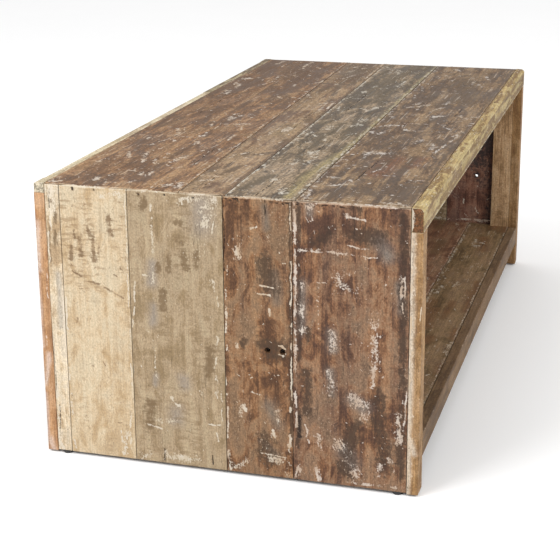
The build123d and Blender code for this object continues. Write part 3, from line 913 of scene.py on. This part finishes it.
tan_marks += scatter(36, 30, ((10, -100), (80, 280)), "paint", (0.5, 1.2), (1, 12), 0.6)
tan_marks += top_wear(62, 0, 70, 290)
near_half = (joint_right - half_gap, joint_left - half_gap)
top_board(
    "top_board_2_near", *top_seams[2:4], near_cut, near_half, 202, tan, "tan_top_board", (1, 0),
    marks=tan_marks,
)
far_marks = placed(
    paint=[(1.5, 14, 400, 16, 590)],
    # Painted shade: the wide soft stain running to the far end darkens the board there.
    stain=[(50, 40, 380, 60, 560), (10, 20, 320, 90, 324)],
    tint=[(22, 60, 460, 64, 500)],
)
far_marks += scatter(37, 70, ((14, 320), (90, top_end)), "paint", (0.5, 1.2), (1, 10), 0.6)
far_marks += top_wear(63, 14, 94)
far_half = (joint_right + half_gap, joint_left + half_gap)
top_board(
    "top_board_2_far", *top_seams[2:4], far_half, far_cut, 203, tan, "tan_top_board", (0, 1),
    marks=far_marks, sunk=0.35,
)

driftwood = wood_finish(
    "grey_top_wood", "x", 131, (84, 70, 55), (118, 100, 79), (149, 128, 105), second=(142, 127, 88),
    second_share=0.12, paint=(188, 181, 168), flakes=0.5, saw=0.2, dirt=0.65, checks=0.9, contrast=1.8,
    stain=(81, 69, 53), **deck,
)
grey_marks = placed(
    paint=[(2.6, -7, -600, -3, -440), (1.5, -78, 340, -76, 380)],
    haze=[
        (9, -38, -124, -36, -92), (9, -84, -80, -80, -20), (12, -86, -566, -80, -540),
        (10, -58, -510, -52, -490), (14, -70, -380, -58, -300), (9, -74, 320, -76, 390),
        (7, -74, 70, -80, 110), (3.2, -9, -590, 8, 590), (3.4, -109, -590, -105, top_end),
    ],
    # Painted shade: the wide soft stains from the middle out to the far end darken the board there; the
    # smaller ones toward the near end are stains.
    stain=[
        (30, -30, 220, -60, 580), (14, -20, -560, -40, -470), (16, -50, -240, -36, -160),
        (12, -84, -190, -86, -140), (20, -40, 200, -36, 330), (18, -30, 440, -60, 580),
    ],
    tint=[
        (9, -98, -590, -94, -460), (11, -92, -470, -106, -300), (8, -108, -340, -108, -200),
        (4, -108, -200, -104, top_end),
    ],
    crack=[(0.9, -50, -590, -54, -480), (0.9, -62, -300, -70, -150), (0.9, -30, 40, -30, 220)],
)
grey_marks += scatter(38, 100, ((-108, -top_end), (0, 100)), "paint", (0.5, 1.1), (1, 13), 0.4)
# Painted shade: stains scattered over the far half, darkening it.
grey_marks += scatter(67, 26, ((-104, 120), (6, top_end)), "stain", (6, 14), (40, 150), 0.1)
grey_marks += scatter(39, 50, ((-106, 100), (8, top_end)), "paint", (0.5, 1.1), (1, 14), 0.4)
grey_marks += top_wear(64, -108, 4)
top_board(
    "top_board_3", *top_seams[1:3], near_cut, far_cut, 204, driftwood, "grey_top_board", marks=grey_marks,
    relief=0.45,
)

weathered = wood_finish(
    "weathered_top_wood", "x", 141, (83, 64, 47), (114, 91, 67), (142, 118, 88), second=(108, 71, 48),
    second_share=0.2, paint=(186, 178, 170), flakes=0.6, saw=0.25, dirt=0.65, checks=0.7, contrast=1.7,
    stain=(80, 63, 47), **deck,
)
weathered_marks = placed(
    paint=[
        (2.4, -124, -458, -144, -456), (2.4, -150, -282, -176, -280), (0.8, -150, -388, -236, -384),
        (0.8, -160, -352, -250, -346), (2.6, -204, 30, -208, 46), (1.6, -182, 240, -172, 268),
        (1.2, -252, -268, -268, -140), (3, -266, -588, -258, -576),
    ],
    haze=[
        (8, -124, -458, -150, -456), (9, -142, -284, -184, -280), (2, -170, -428, -226, -426),
        (2.4, -156, -98, -240, -92), (2.4, -150, -38, -204, -34), (10, -126, -66, -150, -58),
        (11, -196, 36, -214, 44), (7, -148, 144, -150, 158), (7, -180, 476, -183, 482),
        (3, -250, -268, -270, -120), (9, -268, -592, -240, -580), (6, -124, -590, -118, -500),
        (2.6, -116, -590, -112, top_end),
    ],
    # Painted shade: the widest soft stains, from the middle out toward the far end, darken the board there.
    stain=[
        (40, -240, 180, -190, 420), (13, -176, 470, -190, 486), (24, -200, 290, -224, 420),
        (20, -190, 130, -210, 250), (14, -250, -540, -264, -470), (16, -210, -540, -190, -500),
        (5, -275, -590, -276, 590),
    ],
    tint=[(26, -190, -420, -204, -320), (16, -228, -360, -240, -300)],
    crack=[(1, -170, -470, -176, -330), (0.8, -236, -60, -238, 120)],
)
weathered_marks += scatter(41, 110, ((-278, -top_end), (-116, 0)), "paint", (0.5, 1.1), (1, 12), 0.8)
weathered_marks += scatter(42, 60, ((-278, 0), (-116, top_end)), "paint", (0.5, 1.2), (1, 14), 0.6)
weathered_marks += scatter(43, 60, ((-278, -top_end), (-116, 0)), "paint", (0.4, 0.7), (8, 30), 1.5)
weathered_marks += top_wear(65, -278, -114)
top_board(
    "top_board_4", *top_seams[:2], near_cut, far_cut, 205, weathered, "weathered_top_board",
    marks=weathered_marks,
)

# Upright lippings: squared strips glued over the boards' edges at the four corners, standing on the
# floor as feet. The near left one is orange softwood, the near right one still has paint down one side.


def squared_upright(node, outward, grid, seed, finish, slot, **wear):
    """A squared upright at a corner; its face looks out along the table if outward is 1, and in if -1."""
    low_x, high_x = span(node, 0)
    depth = high_x - low_x
    side = outward * math.copysign(1, low_x + high_x)
    face = high_x if side > 0 else low_x
    straight_board(
        node, lambda along, across, up: (face - side * (depth - up), across, along), span(node, 2), depth,
        grid, seed, finish, slot, back=2, seamed=0, **wear,
    )


def lipping(node, seed, finish, marks=()):
    low_x, high_x = span(node, 0)
    squared_upright(
        node, 1, (2.0, 1.0), seed, finish, "lipping_wood", arris=(1.6, 1.6), relief=0.25, wave=0.4,
        ragged=0.6, marks=marks, side_marks=scatter(seed, 24, ((1, 10), (high_x - low_x, 400))),
    )


orange_wood = wood_finish(
    "orange_lipping_wood", "z", 151, (140, 101, 70), (163, 123, 86), (184, 146, 110),
    second=(188, 166, 152), second_share=0.12, paint=(194, 176, 162), flakes=0.3, saw=0.3, dirt=0.2,
    checks=0.3, contrast=0.9, stain=(103, 75, 53),
)
tan_lipping_wood = wood_finish(
    "tan_lipping_wood", "z", 161, (117, 85, 54), (142, 109, 70), (161, 127, 89),
    second=(193, 180, 163), second_share=0.08, paint=(196, 182, 164), flakes=0.4, saw=0.4, dirt=0.3,
    checks=0.3, contrast=1.1, stain=(86, 61, 41),
)
left_paint = placed(
    paint=[
        (1.4, 292, 198, 292, 182), (1.5, 288, 168, 290, 148, 295, 122, 299, 112), (1.2, 285, 300, 286, 262),
    ],
    haze=[(5, 297, 372, 297, 308), (5, 296, 18, 288, 6)],
    tint=[
        (4.5, 297, 382, 297, 304), (4, 290, 168, 291, 150, 298, 116), (6, 296, 22, 290, 4),
        (3, 299, 296, 299, 180), (3, 298, 100, 298, 30),
    ],
)
right_paint = placed(
    paint=[(2.2, -283, 428, -283.5, 4)],
    tint=[(4.8, -284.5, 428, -285, 150), (4, -284.5, 150, -285, 4)],
)
right_paint += [("haze", 2.4, (-284, z), (-289, z - 10)) for z in range(404, 20, -19)]
right_paint += placed(
    paint=[(1.2, -284, 92, -293, 72), (1.1, -298, 300, -297, 260)],
    tint=[(5, -286, 92, -292, 70)],
)
lipping("near_left_lipping", 301, orange_wood, left_paint)
lipping("near_right_lipping", 302, tan_lipping_wood, right_paint)
lipping("far_left_lipping", 303, orange_wood)
lipping("far_right_lipping", 304, tan_lipping_wood)

# The posts stand inside the corners, one flat side against the end boards, and carry the rails.
post_wood = wood_finish(
    "post_wood", "z", 171, (129, 100, 69), (161, 129, 94), (188, 157, 121), saw=0.5, dirt=0.35, flakes=0.3,
)
posts = ["near_right_post", "near_left_post", "far_right_post", "far_left_post"]
for seed, node in enumerate(posts, start=310):
    marks = scatter(seed, 20, ((-282, 10), (282, 400)))
    squared_upright(node, -1, (3.0, 2.5), seed, post_wood, "frame_wood", arris=(1, 1), marks=marks)

# Edge strips of the top: squared sapwood, one length on the right and two butted on the left. The
# right one shows its dark end grain at the near end, and its outer corner is rubbed round.


def strip_sides(start, stop, depth, seed):
    """Chips and rubs down a strip's sides, and the worn pale line along its lower edge."""
    region = ((2, start + 5), (depth - 1, stop - 5))
    length_to_a_chip = 8
    count = round((stop - start) / length_to_a_chip)
    marks = scatter(seed, count, region, "paint", (0.6, 1.4), (2, 14), 0.3)
    marks += scatter(seed + 1, count // 2, region, "stain", (3, 8), (10, 90), 0.05)
    marks += scatter(seed + 2, count // 3, region, "crack", (0.5, 0.9), (1, 5), 0.5)
    return marks + [("paint", 1.7, (0.5, start), (0.5, stop)), ("stain", 4, (7, start), (5, stop))]


def edge_strip(node, seed, finish, arris, marks=(), notched=False, smeared=0):
    """A strip with its face up; a notched one is thinner where it rides over the lippings."""
    run, (low_z, high_z) = span(node, 0), span(node, 2)
    depth = high_z - low_z
    thinner = 1 - up_depth / depth
    notch = 30

    def lay(along, across, up):
        over_lipping = notched * (np.abs(along) > far_face - notch)
        return along, across, low_z + up + over_lipping * thinner * (depth - up)

    straight_board(
        node, lay, run, depth, (2.2, 0.9), seed, finish, "pale_edge_strip", arris=arris, end_arris=0.9,
        marks=marks, side_marks=strip_sides(*run, depth, seed), side_grid=1.6, smeared=smeared, relief=0.35,
        ragged=0.9, back=3, seamed=0.12,
    )


sapwood = {"contrast": 1.35, "second": (178, 166, 112), "second_share": 0.3, "flakes": 0.35}
sapwood.update({"saw": 0.25, "dirt": 0.4, "checks": 0.5, "strand": 0.5, "gloss": 0.3})
right_sapwood = wood_finish(
    "right_strip_wood", "x", 181, (133, 109, 69), (165, 140, 93), (184, 164, 121),
    end_tone=(112, 73, 45), stain=(105, 76, 45), **sapwood,
)
left_sapwood = wood_finish(
    "left_strip_wood", "x", 191, (160, 142, 114), (189, 172, 145), (208, 196, 172),
    end_tone=(206, 193, 168), stain=(115, 93, 69), **sapwood,
)
far_sapwood = wood_finish(
    "left_strip_far_wood", "x", 195, (112, 98, 76), (142, 128, 104), (170, 157, 132),
    end_tone=(120, 96, 66), stain=(86, 66, 48), **sapwood,
)
right_marks = scatter(51, 120, ((-299, -top_end), (-283, top_end)), "paint", (0.5, 1.2), (2, 16), 0.2)
right_marks += scatter(54, 26, ((-299, -top_end), (-283, top_end)), "stain", (2.5, 6), (8, 70), 0.05)
right_marks += scatter(55, 50, ((-297, -top_end), (-284, top_end)), "crack", (0.5, 0.9), (1, 6), 0.4)
# Painted shade: the soft stain down the middle from x 380 to the far end darkens the strip there; the line
# along the seam edge is a stain.
right_marks += placed(stain=[(2.6, -283, -560, -283, 590), (6, -291, 380, -291, 590)])
edge_strip("right_top_strip", 321, right_sapwood, (7, 1), right_marks, smeared=0.9)
left_marks = scatter(52, 60, ((283, -top_end), (299, 160)), "paint", (0.5, 1.2), (2, 16), 0.2)
edge_strip("left_top_strip_near", 322, left_sapwood, (1, 6), left_marks, notched=True)
left_marks = scatter(53, 30, ((283, 170), (299, top_end)), "paint", (0.5, 1.2), (2, 16), 0.2)
left_marks += scatter(56, 30, ((283, 170), (299, top_end)), "stain", (2.5, 6), (10, 70), 0.05)
edge_strip("left_top_strip_far", 323, far_sapwood, (1, 6), left_marks, notched=True)

# The shelf: four boards along the table, screwed down to the bearers, all four cut to one length. Dark olive
# and russet, with a squared lip along each open side.
shelf_top = span("shelf_board_1", 2)[1]
olive = wood_finish(
    "olive_shelf_wood", "x", 211, (90, 71, 48), (125, 102, 72), (149, 123, 92), second=(116, 81, 53),
    second_share=0.3, flakes=0.5, saw=0.3, dirt=0.5, checks=0.5, contrast=1.1, scored=0.6, gloss=0.4,
)
russet = wood_finish(
    "russet_shelf_wood", "x", 221, (102, 70, 54), (134, 98, 75), (161, 126, 98), second=(117, 91, 65),
    second_share=0.3, flakes=0.45, saw=0.3, dirt=0.5, checks=0.5, contrast=1.1, scored=0.6, gloss=0.4,
)
shelf_run = span("shelf_board_2", 0)
for number in (1, 2, 3, 4):
    node, seed = f"shelf_board_{number}", 330 + number
    finish, slot = (olive, "olive_shelf_board") if number % 2 else (russet, "russet_shelf_board")
    low, high = span(node, 1)
    marks = scatter(seed, 170, ((low, -580), (high, 580)), "paint", (0.5, 1.3), (1, 14), 0.5)
    marks += scatter(seed + 9, 16, ((low, -580), (high, 580)), "haze", (3, 8), (10, 60), 0.2)
    marks += scatter(seed + 19, 16, ((low, -580), (high, 580)), "tint", (8, 18), (20, 120), 0.1)
    marks += [("haze", 5, (high - 3, -580), (high - 3, 580)), ("haze", 2, (low + 2, -580), (low + 2, 580))]
    straight_board(
        node, flat(shelf_top), shelf_run, up_depth, (2.6, 2.2), seed, finish, slot, marks=marks, back=3,
    )

lip_wood = wood_finish(
    "shelf_lip_wood", "x", 231, (90, 68, 47), (114, 90, 64), (133, 108, 81), second=(107, 75, 47),
    second_share=0.3, flakes=0.4, saw=0.3, dirt=0.4,
)
for node, seed in (("shelf_right_lip", 341), ("shelf_left_lip", 342)):
    low_z, high_z = span(node, 2)
    straight_board(
        node, lambda along, across, up: (along, across, up + low_z), span(node, 0), high_z - low_z,
        (2.5, 1.2), seed, lip_wood, "shelf_lip_wood", arris=(1.6, 1.6), back=3, seamed=0,
        marks=scatter(seed, 50, ((-300, -560), (300, 560))),
    )

# Fixings: blackened steel screws and nails, beech dowels between posts and rails, and hard black
# plastic glides nailed under the corners.


def plain_finish(name, tone, worn_tone, roughness, metallic, grains):
    """Steel or plastic with fine speckle and rubbed patches; grains is the speckle's count to a metre."""
    f = Finish(name, "x")
    speckle = f.cloud(grains, grains, 2, detail=4)
    rubbed = f.cloud(40, 40, 5, detail=3)
    colour = f.mix(f.between(rubbed, 0.42, 0.62), shade(*tone), shade(*worn_tone))
    colour = f.mix(f.between(speckle, 0.5, 0.7, 0, 0.6), colour, shade(*(0.6 * c for c in tone)))
    bump = f.add("ShaderNodeBump", {"Strength": 0.4, "Distance": 0.0002, "Height": speckle}).outputs[0]
    rough = f.between(speckle, 0.3, 0.7, roughness - 0.12, roughness + 0.12)
    surface = {"Base Color": colour, "Roughness": rough, "Normal": bump, "Metallic": metallic}
    body = f.add("ShaderNodeBsdfPrincipled", surface)
    f.add("ShaderNodeOutputMaterial", {"Surface": body.outputs[0]})
    return f.material


steel = plain_finish("blackened_steel", (52, 46, 42), (104, 84, 66), 0.5, 0.8, 1400)
coat(["top_screws", "shelf_screws", "bearer_screws"], steel)
coat(["near_end_nails", "far_end_nails", "glide_nails"], steel)
coat(["post_dowels"], wood_finish("beech", "z", 241, (186, 148, 106), (206, 172, 130), (220, 190, 150)))
plastic = plain_finish("glide_plastic", (24, 24, 25), (44, 43, 42), 0.45, 0.0, 900)
coat([f"{end}_{hand}_glide" for end in ("near", "far") for hand in ("right", "left")], plastic)

# The studio: a plain pale floor, a big soft light from the upper left and front, and even white air.
floor_half = 30
floor_mesh = bpy.data.meshes.new("floor")
floor_mesh.from_pydata([(x, y, 0) for x, y in ((-1, -1), (1, -1), (1, 1), (-1, 1))], [], [(0, 1, 2, 3)])
floor_mesh.transform(Matrix.Scale(floor_half, 4))
floor = bpy.data.objects.new("floor", floor_mesh)
bpy.context.scene.collection.objects.link(floor)
paper = Finish("floor_paper", "x")
mottle = paper.cloud(3, 3, 1, detail=2)
paper_colour = paper.mix(mottle, shade(249, 249, 249), shade(251, 251, 251))
paper_surface = {"Base Color": paper_colour, "Roughness": 0.9, "Specular IOR Level": 0.1}
paper_body = paper.add("ShaderNodeBsdfPrincipled", paper_surface)
paper.add("ShaderNodeOutputMaterial", {"Surface": paper_body.outputs[0]})
floor_mesh.materials.append(paper.material)

world = bpy.data.worlds.new("studio_air")
world.use_nodes = True
air = world.node_tree.nodes["Background"].inputs
air["Color"].default_value = (1, 1, 1, 1)
air["Strength"].default_value = 0.95
bpy.context.scene.world = world
bpy.context.scene.view_settings.view_transform = "Standard"


def stand(thing, right, over, back, place):
    """Stands a lamp or a camera at a place in metres, looking away from back."""
    turned = np.stack((right, over, back), axis=1)
    thing.matrix_world = Matrix([(*row, where) for row, where in zip(turned, place)] + [(0, 0, 0, 1)])


def softbox(name, place, aim, size, power):
    """A square soft light at a place in metres, aimed at a point."""
    lamp = bpy.data.lights.new(name, "AREA")
    lamp.shape = "SQUARE"
    lamp.size = size
    lamp.energy = power
    box = bpy.data.objects.new(name, lamp)
    bpy.context.scene.collection.objects.link(box)
    toward = np.array(aim, float) - np.array(place, float)
    toward /= np.linalg.norm(toward)
    side = np.cross(toward, (0, 0, 1))
    side /= np.linalg.norm(side)
    stand(box, side, np.cross(side, toward), -toward, place)


softbox("key_softbox", (-2.7, 1.9, 2.9), (-0.4, 0, 0.3), 2.2, 100)
softbox("fill_softbox", (-1.6, -3.4, 2.6), (0.2, -0.8, 0), 2.4, 60)

# The camera stands at the near left corner's side, a little above the top, and looks along the table.
yaw, pitch, roll = (math.radians(a) for a in (16.47, 16.02, -0.44))
ahead = np.array((math.cos(yaw) * math.cos(pitch), math.sin(yaw) * math.cos(pitch), -math.sin(pitch)))
level_right = np.array((math.sin(yaw), -math.cos(yaw), 0))
level_up = np.cross(level_right, ahead)
right = math.cos(roll) * level_right + math.sin(roll) * level_up
over = math.cos(roll) * level_up - math.sin(roll) * level_right
lens = bpy.data.cameras.new("camera")
lens.lens = 87.65
lens.shift_y = -0.1
lens.clip_end = 100
camera = bpy.data.objects.new("camera", lens)
bpy.context.scene.collection.objects.link(camera)
stand(camera, right, over, -ahead, (-2.4137, -0.6262, 0.9503))
bpy.context.scene.camera = camera
